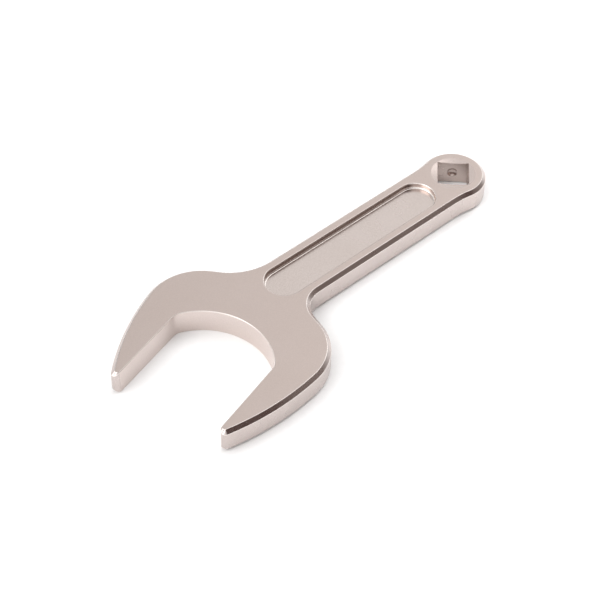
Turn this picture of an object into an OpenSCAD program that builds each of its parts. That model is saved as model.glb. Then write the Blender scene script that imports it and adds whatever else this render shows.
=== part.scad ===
// One-piece open-end wrench with a square drive hole in the handle end.
//
// It lies flat on its underside, z = 0. The origin is on the axis of the drive hole, the handle
// runs along X and the jaw is at the -X end. The jaw's own axes u and v start where the jaw's
// centre line crosses the handle's: u runs out of the mouth, v across it.

/* [Jaw] */
// Width across the jaw flats
jaw_w = 46; // [40:0.5:50]
// Angle between the jaw's centre line and the handle
jaw_angle = 15; // [0:1:20]
// Radius of the throat
throat_r = 28.3; // [27:0.1:31]
// Distance from the jaw's origin to the throat's centre
throat_u = 49; // [48:0.1:52]
// Radius between throat and flats
corner_r = 5; // [4:0.5:9]

/* [Head] */
// Radius of the long outer curve of each jaw arm
arm_r = 110; // [105:1:120]
// Distance from the jaw's origin to that curve's centre, along u
arm_u = 16.3; // [14:0.1:18]
// Distance from the centre line to that curve's centre, on the far side of it
arm_drop = 70.3; // [68:0.1:72]
// Radius of the shoulders
shoulder_r = 23.2; // [20:0.1:24]
// Distance from the jaw's origin to the shoulders' centres, along u
shoulder_u = 25.7; // [24:0.1:28]
// Angle of the flanks' outward normal, from the jaw's centre line
flank_angle = 156.4; // [150:0.2:160]
// Radius between flank and handle on the open side
wide_neck_r = 23.8; // [18:0.1:28]
// Radius between flank and handle on the tight side
tight_neck_r = 10.5; // [8:0.5:14]
// Radius of the jaw tips
tip_r = 1.85; // [1.85:0.05:2.2]

/* [Handle] */
// Distance from the drive hole to the jaw's origin
reach = 100; // [90:1:120]
// Width of the handle
handle_w = 25; // [22:0.5:26]
// Outer radius of the ring around the drive hole
ring_r = 13.65; // [13.6:0.05:16]
// Radius between handle and ring
ring_blend_r = 42; // [20:1:50]
// Thickness of the whole wrench
thick = 11; // [9:0.5:13]
// Chamfer along the outer edge
edge_c = 1.5; // [1:0.1:1.6]
// Edge break inside the jaw
break_c = 0.2; // [0.1:0.1:0.8]

/* [Pocket] */
// Width of the pocket in each face of the handle
pocket_w = 16; // [12:0.2:18]
// Distance from the drive hole to the pocket's near end
pocket_near = 13.7; // [12.5:0.1:20]
// Distance from the drive hole to the pocket's far end
pocket_far = 101.8; // [80:0.1:103]
// Depth of the pocket
pocket_d = 2.5; // [1:0.1:3]
// Width of the fillet around the pocket's floor
pocket_fillet = 0.8; // [0.4:0.1:1]

/* [Drive hole] */
// Width across the flats of the female square
square_w = 12.9; // [12.76:0.01:13.03]
// Diameter of the countersink
sink_d = 18.6; // [18.4:0.1:20]
// Included angle of the countersink
sink_angle = 165; // [110:5:170]
// Diameter of the detent recesses
detent_d = 4.6; // [3:0.1:5]
// Depth of the detent recesses
detent_depth = 1.1; // [0.6:0.1:1.4]

/* [Hidden] */
$fn = 96;
SAG = 0.02;                    // how far a chord may stray from the arc it stands for
SAME = 0.001;                  // points closer together than this are one point
NOSE_TURN = 80;                // turn of the tip over which the edge break widens into a chamfer
NOSE_STEPS = 8;                // points over that turn
PAST = 1.1;                    // how far the chamfers are drawn, as a multiple of their width
OUT = 1;                       // how far cutters stand clear of the faces they cut
half_h = handle_w / 2;
half_jaw = jaw_w / 2;
jaw_turn = 180 + jaw_angle;    // from +X to the direction u

// Centres of the head's arcs, in u and v on the side where v is positive
throat_c = [throat_u, 0];
corner_cv = half_jaw - corner_r;
corner_c = [throat_u - sqrt((throat_r - corner_r) ^ 2 - corner_cv ^ 2), corner_cv];
arm_c = [arm_u, -arm_drop];
tip_cv = half_jaw + tip_r;
tip_c = [arm_u + sqrt((arm_r - tip_r) ^ 2 - (tip_cv + arm_drop) ^ 2), tip_cv];
shoulder_c = [shoulder_u, sqrt((arm_r - shoulder_r) ^ 2 - (shoulder_u - arm_u) ^ 2) - arm_drop];

// Centres of the arcs between handle and ring
ring_c = [0, 0];
ring_blend_cy = half_h + ring_blend_r;
ring_blend_c = [-sqrt((ring_r + ring_blend_r) ^ 2 - ring_blend_cy ^ 2), ring_blend_cy];

function polar(r, a) = [r * cos(a), r * sin(a)];
function bearing(from, to) = atan2(to.y - from.y, to.x - from.x);

// Where two lines meet, each given by its normal's angle and its distance from the origin
function crossing(angle_a, dist_a, angle_b, dist_b) =
    [dist_a * sin(angle_b) - dist_b * sin(angle_a), dist_b * cos(angle_a) - dist_a * cos(angle_b)]
    / sin(angle_b - angle_a);

// The neck: side is 1 where the flank and the handle make the tight corner, -1 on the open side
function neck_r(side) = side > 0 ? tight_neck_r : wide_neck_r;
function handle_normal(side) = 90 - side * jaw_angle;
function neck_c(side) = crossing(
    flank_angle, shoulder_c * polar(1, flank_angle) + shoulder_r + neck_r(side),
    handle_normal(side), half_h + neck_r(side));

// An arc is [centre, radius, start angle, end angle, chamfer]. Its radius is negative where the
// metal is outside it. The nose's arcs are single points, each with a wider chamfer.
function jaw_arcs() = [
    [throat_c, -throat_r, 180, bearing(throat_c, corner_c), break_c],
    [corner_c, -corner_r, bearing(throat_c, corner_c), 90, break_c]];
function nose_arcs() = [
    for (i = [0:NOSE_STEPS - 1])
        let (turn = -90 + NOSE_TURN * i / NOSE_STEPS)
        [tip_c, tip_r, turn, turn, break_c + (edge_c - break_c) * i / NOSE_STEPS]];
function arm_arcs() = [
    [tip_c, tip_r, NOSE_TURN - 90, bearing(arm_c, tip_c), edge_c],
    [arm_c, arm_r, bearing(arm_c, tip_c), bearing(arm_c, shoulder_c), edge_c],
    [shoulder_c, shoulder_r, bearing(arm_c, shoulder_c), flank_angle, edge_c]];
function neck_arc(side) =
    [neck_c(side), -neck_r(side), flank_angle - 180, handle_normal(side) - 180, edge_c];
function head_arcs(side) = concat(jaw_arcs(), nose_arcs(), arm_arcs(), [neck_arc(side)]);
function ring_arcs() = [
    [ring_blend_c, -ring_blend_r, -90, bearing(ring_blend_c, ring_c), edge_c],
    [ring_c, ring_r, bearing(ring_c, ring_blend_c), 0, edge_c]];

// Points along an arc: at level 0 on the wall where its chamfer starts, at level 1 on the face
// where it ends, and at more than 1 beyond that face. Their z is the depth below the face.
function arc_points(arc, level) =
    let (turn = arc[3] - arc[2],
         steps = ceil(abs(turn) / (2 * acos(1 - SAG / abs(arc[1])))),
         r = abs(arc[1] - level * arc[4]))
    [for (i = [0:steps])
        let (p = arc[0] + polar(r, arc[2] + turn * i / max(steps, 1)))
        [p.x, p.y, (1 - level) * arc[4]]];
function all_points(arcs, level) = [for (arc = arcs) each arc_points(arc, level)];
function reversed(list) = [for (i = [len(list) - 1:-1:0]) list[i]];
function distinct(list) =
    [for (i = [0:len(list) - 1]) if (norm(list[i] - list[(i + 1) % len(list)]) > SAME) list[i]];
function jaw_to_handle(p, side) =
    [p.x * cos(jaw_turn) - side * p.y * sin(jaw_turn) - reach,
     p.x * sin(jaw_turn) + side * p.y * cos(jaw_turn),
     p.z];

// The whole outline in the handle's axes, anticlockwise seen from above
function outline(level) =
    let (tight = [for (p = all_points(head_arcs(1), level)) jaw_to_handle(p, 1)],
         open = [for (p = all_points(head_arcs(-1), level)) jaw_to_handle(p, -1)],
         end = all_points(ring_arcs(), level))
    distinct(concat(tight, [for (p = end) [p.x, -p.y, p.z]], reversed(end), reversed(open)));
function turned_over(list) = [for (p = list) [p.x, p.y, thick - p.z]];

// Four loops of points joined by two chamfers and the wall; the chamfers run on past the faces
module chamfered_prism() {
    face = outline(PAST);
    wall = outline(0);
    count = len(face);
    sides = [
        for (loop = [0:2], i = [0:count - 1])
            let (a = loop * count + i, b = loop * count + (i + 1) % count)
            [a, a + count, b + count, b]];
    underside = [for (i = [0:count - 1]) i];
    top = [for (i = [count - 1:-1:0]) 3 * count + i];
    polyhedron(
        points = concat(face, wall, turned_over(wall), turned_over(face)),
        faces = concat([underside], sides, [top]));
}

// The body before its cuts: the faces are the slab's
module blank() {
    intersection() {
        chamfered_prism();
        translate([-2 * reach, -reach, 0])
            cube([3 * reach, 2 * reach, thick]);
    }
}

// Rounded slot with flat sides, its ends on the handle's axis
module pocket_slot(inset, low, high) {
    end_r = pocket_w / 2 - inset;
    x_far = -pocket_far + pocket_w / 2;
    x_near = -pocket_near - pocket_w / 2;
    translate([0, 0, low])
        linear_extrude(high - low)
            union() {
                translate([x_far, -end_r])
                    square([x_near - x_far, 2 * end_r]);
                for (x = [x_far, x_near])
                    translate([x, 0])
                        circle(end_r);
            }
}

// Pocket in the top face: full width down to the fillet, then narrower to the floor
module pocket() {
    floor_z = thick - pocket_d;
    pocket_slot(0, floor_z + pocket_fillet, thick + OUT);
    pocket_slot(pocket_fillet, floor_z, thick);
}

// Cone of the countersink in the top face
module countersink() {
    top_r = sink_d / 2 + OUT * tan(sink_angle / 2);
    depth = (sink_d / 2) / tan(sink_angle / 2);
    translate([0, 0, thick - depth])
        cylinder(h = depth + OUT, r1 = 0, r2 = top_r);
}

// Drill point in the middle of each wall of the square hole, for the drive's detent ball
module detents() {
    mouth_r = detent_d / 2;
    slope = mouth_r / detent_depth;
    for (quarter = [0:3])
        rotate([0, 0, 45 + 90 * quarter])
            translate([square_w / 2 - OUT, 0, thick / 2])
                rotate([0, 90, 0])
                    cylinder(h = detent_depth + OUT, r1 = mouth_r + OUT * slope, r2 = 0);
}

module drive_hole() {
    rotate([0, 0, 45])
        translate([-square_w / 2, -square_w / 2, -OUT])
            cube([square_w, square_w, thick + 2 * OUT]);
    detents();
}

// A cut in the top face, and its mirror image in the underside
module both_faces() {
    children();
    translate([0, 0, thick])
        mirror([0, 0, 1])
            children();
}

module wrench_body() {
    color([0.78, 0.75, 0.72])
        difference() {
            blank();
            drive_hole();
            both_faces() {
                pocket();
                countersink();
            }
        }
}

wrench_body();
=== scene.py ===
"""A one-piece open-end wrench with a satin nickel finish, lying on a pale studio floor."""

from collections import namedtuple
from math import acos, atan2, ceil, cos, degrees, dist, radians, sin, sqrt, tan

import bmesh
import bpy
from mathutils import Matrix, Vector


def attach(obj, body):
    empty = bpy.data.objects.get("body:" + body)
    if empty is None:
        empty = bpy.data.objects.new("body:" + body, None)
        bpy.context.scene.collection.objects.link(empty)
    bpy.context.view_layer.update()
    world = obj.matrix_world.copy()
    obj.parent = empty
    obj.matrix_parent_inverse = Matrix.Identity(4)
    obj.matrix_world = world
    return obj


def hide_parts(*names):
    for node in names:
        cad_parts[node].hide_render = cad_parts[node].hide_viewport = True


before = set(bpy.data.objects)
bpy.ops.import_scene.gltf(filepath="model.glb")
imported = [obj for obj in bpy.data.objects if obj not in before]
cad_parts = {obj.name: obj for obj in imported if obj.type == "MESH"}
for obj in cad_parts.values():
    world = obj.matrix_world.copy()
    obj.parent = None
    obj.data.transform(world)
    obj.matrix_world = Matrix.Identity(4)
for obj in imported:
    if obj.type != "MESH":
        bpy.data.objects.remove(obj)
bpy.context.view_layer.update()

MM = 0.001

# Sizes in millimetres, the same as the CAD part's
JAW_W = 46
JAW_ANGLE = 15
THROAT_R = 28.3
THROAT_U = 49
CORNER_R = 5
ARM_R = 110
ARM_U = 16.3
ARM_DROP = 70.3
SHOULDER_R = 23.2
SHOULDER_U = 25.7
FLANK_ANGLE = 156.4
WIDE_NECK_R = 23.8
TIGHT_NECK_R = 10.5
TIP_R = 1.85
NOSE_TURN = 80
REACH = 100
HANDLE_W = 25
RING_R = 13.65
RING_BLEND_R = 42
THICK = 11
EDGE_CHAMFER = 1.5
JAW_BREAK = 0.2
POCKET_W = 16
POCKET_NEAR = 13.7
POCKET_FAR = 101.8
POCKET_DEPTH = 2.5
POCKET_FILLET = 0.8
SQUARE_W = 12.9
SINK_R = 9.3
SINK_SLOPE = tan(radians(7.5))
DETENT_R = 2.3
DETENT_DEPTH = 1.1

# Fine detail that only the visual model has
EDGE_ROUNDING = 0.5
RIM_ROUNDING = 0.4
SINK_ROUNDING = 0.05
SQUARE_ROUNDING = 0.1
BOWL_EDGE, BOWL_MIDDLE = 0.96, 0.12

# How fine the mesh is: lengths in millimetres and turns in degrees
CHORD_ERROR = 0.004
SAME_POINT = 0.001
TURN_STEP = 3
NOSE_STEP = 5
DETENT_STEP = 12
ROUND_STEPS = 4
SHARP_ANGLE = 35

# Which finish a face of the mesh has; each finish's tint also holds painted light and shade for
# its kind of surface
FACE, OUTER_WALL, INNER_WALL, POCKET, DRIVE_HOLE = range(5)

# Vertex attribute that is 1 on the rounded edges, which get a painted highlight
SHEEN_ATTRIBUTE = "painted_sheen"

Arc = namedtuple("Arc", "centre radius start end chamfer")
Station = namedtuple("Station", "x y nx ny chamfer")


def polar(radius, angle):
    return radius * cos(radians(angle)), radius * sin(radians(angle))


def bearing(start, end):
    return degrees(atan2(end[1] - start[1], end[0] - start[0]))


def crossing(angle_a, dist_a, angle_b, dist_b):
    """Where two lines meet, each given by its normal's angle and its distance from the origin."""
    a, b = radians(angle_a), radians(angle_b)
    x = dist_a * sin(b) - dist_b * sin(a)
    y = dist_b * cos(a) - dist_a * cos(b)
    return x / sin(b - a), y / sin(b - a)


# ---- Outline ------------------------------------------------------------------------------------


def jaw_arcs():
    """The inside of the jaw, from the middle of the throat to where the flat meets the tip."""
    throat = (THROAT_U, 0)
    corner_v = JAW_W / 2 - CORNER_R
    corner = (THROAT_U - sqrt((THROAT_R - CORNER_R) ** 2 - corner_v**2), corner_v)
    turn = bearing(throat, corner)
    return [
        Arc(throat, -THROAT_R, 180, turn, JAW_BREAK),
        Arc(corner, -CORNER_R, turn, 90, JAW_BREAK),
    ]


def tip_centre():
    v = JAW_W / 2 + TIP_R
    return ARM_U + sqrt((ARM_R - TIP_R) ** 2 - (v + ARM_DROP) ** 2), v


def nose_arcs():
    """The inner side of a tip, in single points while the edge break widens into a chamfer."""
    tip = tip_centre()
    arcs = []
    for turn in range(0, NOSE_TURN, NOSE_STEP):
        chamfer = JAW_BREAK + (EDGE_CHAMFER - JAW_BREAK) * turn / NOSE_TURN
        arcs.append(Arc(tip, TIP_R, turn - 90, turn - 90, chamfer))
    return arcs


def arm_arcs(side):
    """The outside of one arm, from its tip to the handle."""
    arm = (ARM_U, -ARM_DROP)
    tip = tip_centre()
    drop = sqrt((ARM_R - SHOULDER_R) ** 2 - (SHOULDER_U - ARM_U) ** 2)
    shoulder = (SHOULDER_U, drop - ARM_DROP)
    neck_r = TIGHT_NECK_R if side > 0 else WIDE_NECK_R
    handle_normal = 90 - side * JAW_ANGLE
    flank = polar(1, FLANK_ANGLE)
    flank_dist = shoulder[0] * flank[0] + shoulder[1] * flank[1] + SHOULDER_R
    neck = crossing(
        FLANK_ANGLE, flank_dist + neck_r, handle_normal, HANDLE_W / 2 + neck_r
    )
    return [
        Arc(tip, TIP_R, NOSE_TURN - 90, bearing(arm, tip), EDGE_CHAMFER),
        Arc(arm, ARM_R, bearing(arm, tip), bearing(arm, shoulder), EDGE_CHAMFER),
        Arc(shoulder, SHOULDER_R, bearing(arm, shoulder), FLANK_ANGLE, EDGE_CHAMFER),
        Arc(neck, -neck_r, FLANK_ANGLE - 180, handle_normal - 180, EDGE_CHAMFER),
    ]


def ring_arcs():
    """The blend from the handle into the ring, and half of the ring."""
    blend_y = HANDLE_W / 2 + RING_BLEND_R
    blend = (-sqrt((RING_R + RING_BLEND_R) ** 2 - blend_y**2), blend_y)
    turn = bearing(blend, (0, 0))
    return [
        Arc(blend, -RING_BLEND_R, -90, turn, EDGE_CHAMFER),
        Arc((0, 0), RING_R, turn + 180, 0, EDGE_CHAMFER),
    ]


def stations(arcs):
    """Points along arcs, each with the direction out of the metal and its chamfer's width."""
    found = []
    for arc in arcs:
        radius = abs(arc.radius)
        sign = 1 if arc.radius > 0 else -1
        turn = arc.end - arc.start
        step = 2 * degrees(acos(1 - CHORD_ERROR / radius))
        count = ceil(abs(turn) / step)
        for i in range(count + 1):
            dx, dy = polar(1, arc.start + turn * i / max(count, 1))
            x, y = arc.centre[0] + radius * dx, arc.centre[1] + radius * dy
            found.append(Station(x, y, sign * dx, sign * dy, arc.chamfer))
    return found


def jaw_to_handle(s, side):
    cx, cy = polar(1, 180 + JAW_ANGLE)
    return Station(
        s.x * cx - side * s.y * cy - REACH,
        s.x * cy + side * s.y * cx,
        s.nx * cx - side * s.ny * cy,
        s.nx * cy + side * s.ny * cx,
        s.chamfer,
    )


def outline():
    """Stations round the whole wrench, anticlockwise seen from above."""
    tight = [jaw_to_handle(s, 1) for s in stations(jaw_arcs() + nose_arcs() + arm_arcs(1))]
    wide = [jaw_to_handle(s, -1) for s in stations(jaw_arcs() + nose_arcs() + arm_arcs(-1))]
    end = stations(ring_arcs())
    near_end = [s._replace(y=-s.y, ny=-s.ny) for s in end]
    loop = tight + near_end + end[::-1] + wide[::-1]
    following = loop[1:] + loop[:1]
    return [a for a, b in zip(loop, following) if dist(a[:2], b[:2]) > SAME_POINT]


# ---- Sections -----------------------------------------------------------------------------------


def quarter(start, end):
    """Evenly spaced angles in radians, from start to end in degrees."""
    return [radians(start + (end - start) * i / ROUND_STEPS) for i in range(ROUND_STEPS + 1)]


def edge_section(chamfer):
    """Section of a chamfered edge as (inset, depth), from the face round to the wall."""
    r = min(EDGE_ROUNDING, 1.5 * chamfer)
    run = r * tan(radians(22.5))
    upper = [(chamfer + run - r * cos(a), r - r * sin(a)) for a in quarter(90, 45)]
    lower = [(r - r * cos(a), chamfer + run - r * sin(a)) for a in quarter(45, 0)]
    return upper + lower


def pocket_section():
    """Section of the pocket's wall as (half width, depth), from its rim to its floor."""
    half, rim, fillet = POCKET_W / 2, RIM_ROUNDING, POCKET_FILLET
    upper = [(half + rim - rim * sin(a), rim - rim * cos(a)) for a in quarter(0, 90)]
    lower = [
        (half - fillet + fillet * cos(a), POCKET_DEPTH - fillet + fillet * sin(a))
        for a in quarter(0, 90)
    ]
    return upper + lower


def detent_section():
    """Section of a detent recess as (radius, depth), from its rim to near its middle."""
    ball_r = (DETENT_R**2 + DETENT_DEPTH**2) / (2 * DETENT_DEPTH)
    widest = degrees(atan2(DETENT_R, ball_r - DETENT_DEPTH))
    rim = [(DETENT_R + SQUARE_ROUNDING, 0)]
    bowl = [
        (ball_r * sin(a), ball_r * cos(a) - ball_r + DETENT_DEPTH)
        for a in quarter(BOWL_EDGE * widest, BOWL_MIDDLE * widest)
    ]
    return rim + bowl


# ---- Mesh ---------------------------------------------------------------------------------------


def add_loop(bm, points):
    return [bm.verts.new(Vector(p) * MM) for p in points]


def bridge(bm, upper, lower, finishes):
    """Quads between two loops of the same length, with one finish for each quad."""
    count = len(upper)
    for i, finish in enumerate(finishes):
        j = (i + 1) % count
        face = bm.faces.new((upper[i], upper[j], lower[j], lower[i]))
        face.material_index = finish


def bridge_all(bm, loops, finish):
    for upper, lower in zip(loops, loops[1:]):
        bridge(bm, upper, lower, [finish] * len(upper))


def painted_sheen(bm, loops):
    """Marks loops of vertices as lying on a rounded edge, which gets a painted highlight."""
    layer = bm.verts.layers.float[SHEEN_ATTRIBUTE]
    for loop in loops:
        for vertex in loop:
            vertex[layer] = 1


def closed_edges(bm, loop):
    """The edges round a loop, made where they are missing."""
    pairs = zip(loop, loop[1:] + loop[:1])
    return [bm.edges.get(pair) or bm.edges.new(pair) for pair in pairs]


def fill(bm, loops, finish):
    """Flat face between an outer loop and the loops of its holes."""
    edges = [edge for loop in loops for edge in closed_edges(bm, loop)]
    made = bmesh.ops.triangle_fill(bm, use_beauty=True, use_dissolve=False, edges=edges)
    for item in made["geom"]:
        if isinstance(item, bmesh.types.BMFace):
            item.material_index = finish


def height(depth, top):
    return THICK - depth if top else depth


def outer_loops(bm, around, top):
    """Loops down the outer edge of one face, from the face to the wall."""
    sections = [edge_section(s.chamfer) for s in around]
    loops = []
    for row in range(len(sections[0])):
        points = []
        for s, section in zip(around, sections):
            inset, depth = section[row]
            points.append((s.x - inset * s.nx, s.y - inset * s.ny, height(depth, top)))
        loops.append(add_loop(bm, points))
    painted_sheen(bm, loops[1:ROUND_STEPS] + loops[-ROUND_STEPS:-1])
    return loops


def slot_points(half, z):
    """Rounded slot of the pocket's shape with the given half width."""
    far_x = -POCKET_FAR + POCKET_W / 2
    near_x = -POCKET_NEAR - POCKET_W / 2
    turns = range(0, 181, TURN_STEP)
    near_end = [polar(half, a - 90) for a in turns]
    far_end = [polar(half, a + 90) for a in turns]
    return [(near_x + x, y, z) for x, y in near_end] + [(far_x + x, y, z) for x, y in far_end]


def add_pocket(bm, top):
    """The pocket of one face. Returns the loop round its rim."""
    loops = [
        add_loop(bm, slot_points(half, height(depth, top)))
        for half, depth in pocket_section()
    ]
    painted_sheen(bm, loops[1:ROUND_STEPS] + loops[-ROUND_STEPS:-1])
    bridge_all(bm, loops, POCKET)
    fill(bm, loops[-1:], POCKET)
    return loops[0]


def square_radius(angle):
    """Distance from the drive axis to the square hole's wall."""
    turned = radians(angle - 45)
    return SQUARE_W / 2 / max(abs(cos(turned)), abs(sin(turned)))


def around_axis(radius_and_depth, top):
    """Points round the drive axis, their radius and depth given by a function of the angle."""
    points = []
    for angle in range(0, 360, TURN_STEP):
        radius, depth = radius_and_depth(angle)
        points.append((*polar(radius, angle), height(depth, top)))
    return points


def add_countersink(bm, top):
    """The countersink of one face. Returns the loops at its rim and at the square's walls."""

    def cone_foot(angle):
        radius = square_radius(angle) + SQUARE_ROUNDING
        return radius, (SINK_R - radius) * SINK_SLOPE

    def wall_top(angle):
        radius = square_radius(angle)
        return radius, (SINK_R - radius) * SINK_SLOPE + SQUARE_ROUNDING

    rim = [
        lambda angle: (SINK_R + SINK_ROUNDING, 0),
        lambda angle: (SINK_R - SINK_ROUNDING, SINK_ROUNDING * SINK_SLOPE),
    ]
    loops = [add_loop(bm, around_axis(row, top)) for row in rim + [cone_foot, wall_top]]
    bridge_all(bm, loops, DRIVE_HOLE)
    return loops[0], loops[-1]


def detent_points(turn, radius, depth):
    """Circle about the middle of the wall whose outward direction is turn."""
    nx, ny = polar(1, turn)
    out = SQUARE_W / 2 + depth
    points = []
    for angle in range(0, 360, DETENT_STEP):
        across, up = polar(radius, angle)
        points.append((out * nx - across * ny, out * ny + across * nx, THICK / 2 + up))
    return points


def add_square_walls(bm, upper, lower):
    """The four walls of the drive hole, each with its detent recess."""
    per_wall = len(upper) // 4
    for wall in range(4):
        first = wall * per_wall
        picked = [(first + i) % len(upper) for i in range(per_wall + 1)]
        boundary = [upper[i] for i in picked] + [lower[i] for i in reversed(picked)]
        turn = 45 + 90 * wall
        loops = [add_loop(bm, detent_points(turn, r, d)) for r, d in detent_section()]
        fill(bm, [boundary, loops[0]], DRIVE_HOLE)
        bridge_all(bm, loops, DRIVE_HOLE)
        fill(bm, loops[-1:], DRIVE_HOLE)


def add_body(bm):
    around = outline()
    finishes = [INNER_WALL if s.chamfer == JAW_BREAK else OUTER_WALL for s in around]
    sink_loops = []
    wall_loops = []
    for top in (True, False):
        outer = outer_loops(bm, around, top)
        for upper, lower in zip(outer, outer[1:]):
            bridge(bm, upper, lower, finishes)
        rim, wall = add_countersink(bm, top)
        fill(bm, [outer[0], add_pocket(bm, top), rim], FACE)
        sink_loops.append(wall)
        wall_loops.append(outer[-1])
    bridge(bm, *wall_loops, finishes)
    add_square_walls(bm, *sink_loops)


def shade(bm):
    """Smooth everywhere but along the few edges that are really sharp."""
    bmesh.ops.recalc_face_normals(bm, faces=bm.faces)
    for face in bm.faces:
        face.smooth = True
    for edge in bm.edges:
        edge.smooth = edge.calc_face_angle(0) < radians(SHARP_ANGLE)


def with_weighted_normals(obj):
    """Bakes normals that keep the flat faces flat beside their rounded edges."""
    modifier = obj.modifiers.new("flat faces", "WEIGHTED_NORMAL")
    modifier.keep_sharp = True
    view = bpy.context.evaluated_depsgraph_get()
    baked = bpy.data.meshes.new_from_object(
        obj.evaluated_get(view), preserve_all_data_layers=True, depsgraph=view
    )
    obj.modifiers.clear()
    obj.data = baked


# ---- Materials ----------------------------------------------------------------------------------


# Colour of the painted highlight along the rounded edges
PAINTED_SHEEN_TINT = (0.92, 0.86, 0.82)
BUMP_STRENGTH = 0.25
BUMP_DISTANCE = 0.00002


def new_material(name):
    material = bpy.data.materials.new(name)
    material.use_nodes = True
    nodes = material.node_tree.nodes
    return material, nodes, material.node_tree.links, nodes["Principled BSDF"]


def noise(nodes, links, scale, detail=2):
    """Noise over the object's own coordinates; scale is features per metre."""
    coordinates = nodes.new("ShaderNodeTexCoord")
    texture = nodes.new("ShaderNodeTexNoise")
    texture.inputs["Scale"].default_value = scale
    texture.inputs["Detail"].default_value = detail
    links.new(coordinates.outputs["Object"], texture.inputs["Vector"])
    return texture.outputs["Fac"]


def ramp(nodes, links, source, low, high, span=(0.3, 0.7)):
    """Colour ramp from low to high over the given span of its source."""
    node = nodes.new("ShaderNodeValToRGB")
    for element, position, colour in zip(node.color_ramp.elements, span, (low, high)):
        element.position = position
        element.color = (*colour, 1)
    links.new(source, node.inputs["Fac"])
    return node.outputs["Color"]


def spread(nodes, links, source, low, high):
    """A number from low to high over the middle of its source's range."""
    node = nodes.new("ShaderNodeMapRange")
    node.inputs["From Min"].default_value = 0.3
    node.inputs["From Max"].default_value = 0.7
    node.inputs["To Min"].default_value = low
    node.inputs["To Max"].default_value = high
    links.new(source, node.inputs["Value"])
    return node.outputs["Result"]


def multiply(nodes, links, a, b):
    node = nodes.new("ShaderNodeMix")
    node.data_type = "RGBA"
    node.blend_type = "MULTIPLY"
    node.inputs["Factor"].default_value = 1
    links.new(a, node.inputs["A"])
    links.new(b, node.inputs["B"])
    return node.outputs["Result"]


def with_painted_edge_sheen(nodes, links, colour, grains):
    """The colour, brighter on the rounded edges, as a painted highlight along them."""
    sheen_mask = nodes.new("ShaderNodeAttribute")
    sheen_mask.attribute_name = SHEEN_ATTRIBUTE
    amount = nodes.new("ShaderNodeMath")
    amount.operation = "MULTIPLY"
    links.new(sheen_mask.outputs["Fac"], amount.inputs[0])
    links.new(spread(nodes, links, grains, 0.5, 1), amount.inputs[1])
    node = nodes.new("ShaderNodeMix")
    node.data_type = "RGBA"
    links.new(amount.outputs["Value"], node.inputs["Factor"])
    links.new(colour, node.inputs["A"])
    node.inputs["B"].default_value = (*PAINTED_SHEEN_TINT, 1)
    return node.outputs["Result"]


def satin_nickel(name, tint, roughness, grain):
    """Blasted nickel plate: a fine grain over faint broad stains."""
    material, nodes, links, shader = new_material(name)
    stains = noise(nodes, links, 70, 3)
    grains = noise(nodes, links, grain, 3)
    darker = [0.96 * c for c in tint]
    lighter = [min(1.0, 1.035 * c) for c in tint]
    base = ramp(nodes, links, grains, darker, lighter)
    shadow = ramp(nodes, links, stains, (0.975, 0.97, 0.965), (1, 1, 1))
    stained = multiply(nodes, links, base, shadow)
    # The rounded edges get a painted highlight: their colour is brightened
    colour = with_painted_edge_sheen(nodes, links, stained, grains)
    links.new(colour, shader.inputs["Base Color"])
    uneven = spread(nodes, links, stains, roughness - 0.02, roughness + 0.03)
    links.new(uneven, shader.inputs["Roughness"])
    bump = nodes.new("ShaderNodeBump")
    bump.inputs["Strength"].default_value = BUMP_STRENGTH
    bump.inputs["Distance"].default_value = BUMP_DISTANCE
    links.new(grains, bump.inputs["Height"])
    links.new(bump.outputs["Normal"], shader.inputs["Normal"])
    shader.inputs["Metallic"].default_value = 1
    return material


def floor_material():
    """Matt white board with the faintest unevenness."""
    material, nodes, links, shader = new_material("white_board")
    mottle = noise(nodes, links, 400)
    colour = ramp(nodes, links, mottle, (0.90, 0.90, 0.90), (0.92, 0.92, 0.92))
    links.new(colour, shader.inputs["Base Color"])
    shader.inputs["Roughness"].default_value = 0.9
    shader.inputs["Specular IOR Level"].default_value = 0
    return material


# ---- Stage --------------------------------------------------------------------------------------

CAMERA_TURN = -42.743
CAMERA_RISE = 46.814
CAMERA_ROLL = 1.158
CAMERA_DISTANCE = 0.66965
CAMERA_TARGET = Vector((-0.08934, -0.00432, 0))
CAMERA_LENS = 101.72


def direction(turn, rise):
    """Unit vector towards something seen at that turn from -Y towards +X, and that rise."""
    flat = cos(radians(rise))
    return Vector((sin(radians(turn)) * flat, -cos(radians(turn)) * flat, sin(radians(rise))))


def add_camera():
    data = bpy.data.cameras.new("camera")
    data.lens = CAMERA_LENS
    data.sensor_width = 36
    camera = bpy.data.objects.new("camera", data)
    bpy.context.scene.collection.objects.link(camera)
    back = direction(CAMERA_TURN, CAMERA_RISE)
    right = Vector((cos(radians(CAMERA_TURN)), sin(radians(CAMERA_TURN)), 0))
    up = back.cross(right)
    axes = Matrix((right, up, back)).transposed()
    turned = axes @ Matrix.Rotation(radians(CAMERA_ROLL), 3, "Z")
    camera.matrix_world = turned.to_4x4()
    camera.location = CAMERA_TARGET + CAMERA_DISTANCE * back
    bpy.context.scene.camera = camera


# The floor is a hair below the wrench, so that no two surfaces coincide
FLOOR_HALF = 2.0
FLOOR_Z = -0.00005


def add_floor():
    mesh = bpy.data.meshes.new("floor")
    half, z = FLOOR_HALF, FLOOR_Z
    corners = [(-half, -half, z), (half, -half, z), (half, half, z), (-half, half, z)]
    mesh.from_pydata(corners, [], [(0, 1, 2, 3)])
    mesh.materials.append(floor_material())
    floor = bpy.data.objects.new("floor", mesh)
    bpy.context.scene.collection.objects.link(floor)


# Lights that brighten the floor and aren't mirrored in the metal: (name, size, power, place)
FLOOR_LIGHTS = [
    ("overhead", 2.0, 8.5, (-0.3, 0.2, 1.5)),
    ("right_side", 0.3, 0.85, (0.27, -0.08, 0.35)),
]


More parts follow.
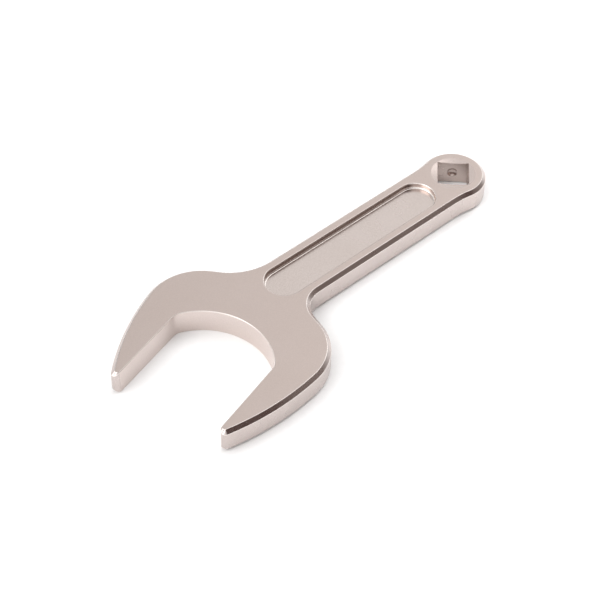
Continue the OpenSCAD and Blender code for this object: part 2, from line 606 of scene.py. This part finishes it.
def add_floor_lights():
    for name, size, power, place in FLOOR_LIGHTS:
        data = bpy.data.lights.new(name, "AREA")
        data.size = size
        data.energy = power
        light = bpy.data.objects.new(name, data)
        light.location = place
        light.visible_glossy = False
        bpy.context.scene.collection.objects.link(light)


# Soft patches of the surroundings, which the metal mirrors: (turn, rise, half width, colour).
# A patch has its full colour within PATCH_CORE half widths and fades out at PATCH_END of them.
PATCH_CORE = 0.7
PATCH_END = 1.25
SURROUND = (1.0, 1.0, 1.0)
PATCHES = [
    (-102, 35, 24, (3.0, 3.0, 3.0)),
    (71, 61, 15, (2.2, 2.2, 2.2)),
    (100, 48, 14, (1.9, 1.9, 1.9)),
    (174, 46, 15, (0.5, 0.5, 0.5)),
    (33, 30, 42, (0.28, 0.235, 0.22)),
    (8, 36, 20, (0.08, 0.04, 0.035)),
    (165, 0, 28, (0.2, 0.2, 0.2)),
]


def add_surroundings():
    """An even white studio with soft lights to the left and above, and dark openings."""
    world = bpy.data.worlds.new("studio")
    bpy.context.scene.world = world
    world.use_nodes = True
    nodes, links = world.node_tree.nodes, world.node_tree.links
    coordinates = nodes.new("ShaderNodeTexCoord")
    colour = None
    for turn, rise, half_width, patch_colour in PATCHES:
        dot = nodes.new("ShaderNodeVectorMath")
        dot.operation = "DOT_PRODUCT"
        dot.inputs[1].default_value = direction(turn, rise)
        links.new(coordinates.outputs["Generated"], dot.inputs[0])
        blend = nodes.new("ShaderNodeMapRange")
        blend.interpolation_type = "SMOOTHSTEP"
        blend.inputs["From Min"].default_value = cos(radians(PATCH_END * half_width))
        blend.inputs["From Max"].default_value = cos(radians(PATCH_CORE * half_width))
        links.new(dot.outputs["Value"], blend.inputs["Value"])
        mix = nodes.new("ShaderNodeMix")
        mix.data_type = "RGBA"
        mix.inputs["A"].default_value = (*SURROUND, 1)
        mix.inputs["B"].default_value = (*patch_colour, 1)
        links.new(blend.outputs["Result"], mix.inputs["Factor"])
        if colour is not None:
            links.new(colour, mix.inputs["A"])
        colour = mix.outputs["Result"]
    links.new(colour, nodes["Background"].inputs["Color"])


# ---- Build --------------------------------------------------------------------------------------


# The finishes in the order of their numbers: (name, tint, roughness, grains per metre). The tints
# are one nickel colour made lighter or darker per surface as painted light and shade: the inner
# walls are painted brightest, and the faces and outer walls darkest.
FINISHES_WITH_PAINTED_LIGHT = [
    ("face_finish_and_painted_light", (0.605, 0.512, 0.473), 0.33, 2600),
    ("outer_wall_finish_and_painted_light", (0.61, 0.54, 0.515), 0.27, 2200),
    ("inner_wall_finish_and_painted_light", (0.725, 0.64, 0.605), 0.30, 2200),
    ("pocket_finish_and_painted_light", (0.65, 0.57, 0.535), 0.26, 1800),
    ("drive_hole_finish_and_painted_light", (0.63, 0.54, 0.505), 0.26, 2200),
]


def build_wrench():
    bm = bmesh.new()
    bm.verts.layers.float.new(SHEEN_ATTRIBUTE)
    add_body(bm)
    shade(bm)
    mesh = bpy.data.meshes.new("wrench")
    bm.to_mesh(mesh)
    bm.free()
    # Each kind of surface gets its own copy of the nickel, with its tint painted lighter or darker
    # for how light falls on it
    for name, tint, roughness, grain in FINISHES_WITH_PAINTED_LIGHT:
        mesh.materials.append(satin_nickel(name, tint, roughness, grain))
    wrench = bpy.data.objects.new("wrench", mesh)
    bpy.context.scene.collection.objects.link(wrench)
    with_weighted_normals(wrench)
    return wrench


wrench = build_wrench()
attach(wrench, "root")
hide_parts("wrench_body")

add_camera()
add_floor()
add_floor_lights()
add_surroundings()
bpy.context.scene.view_settings.view_transform = "Standard"
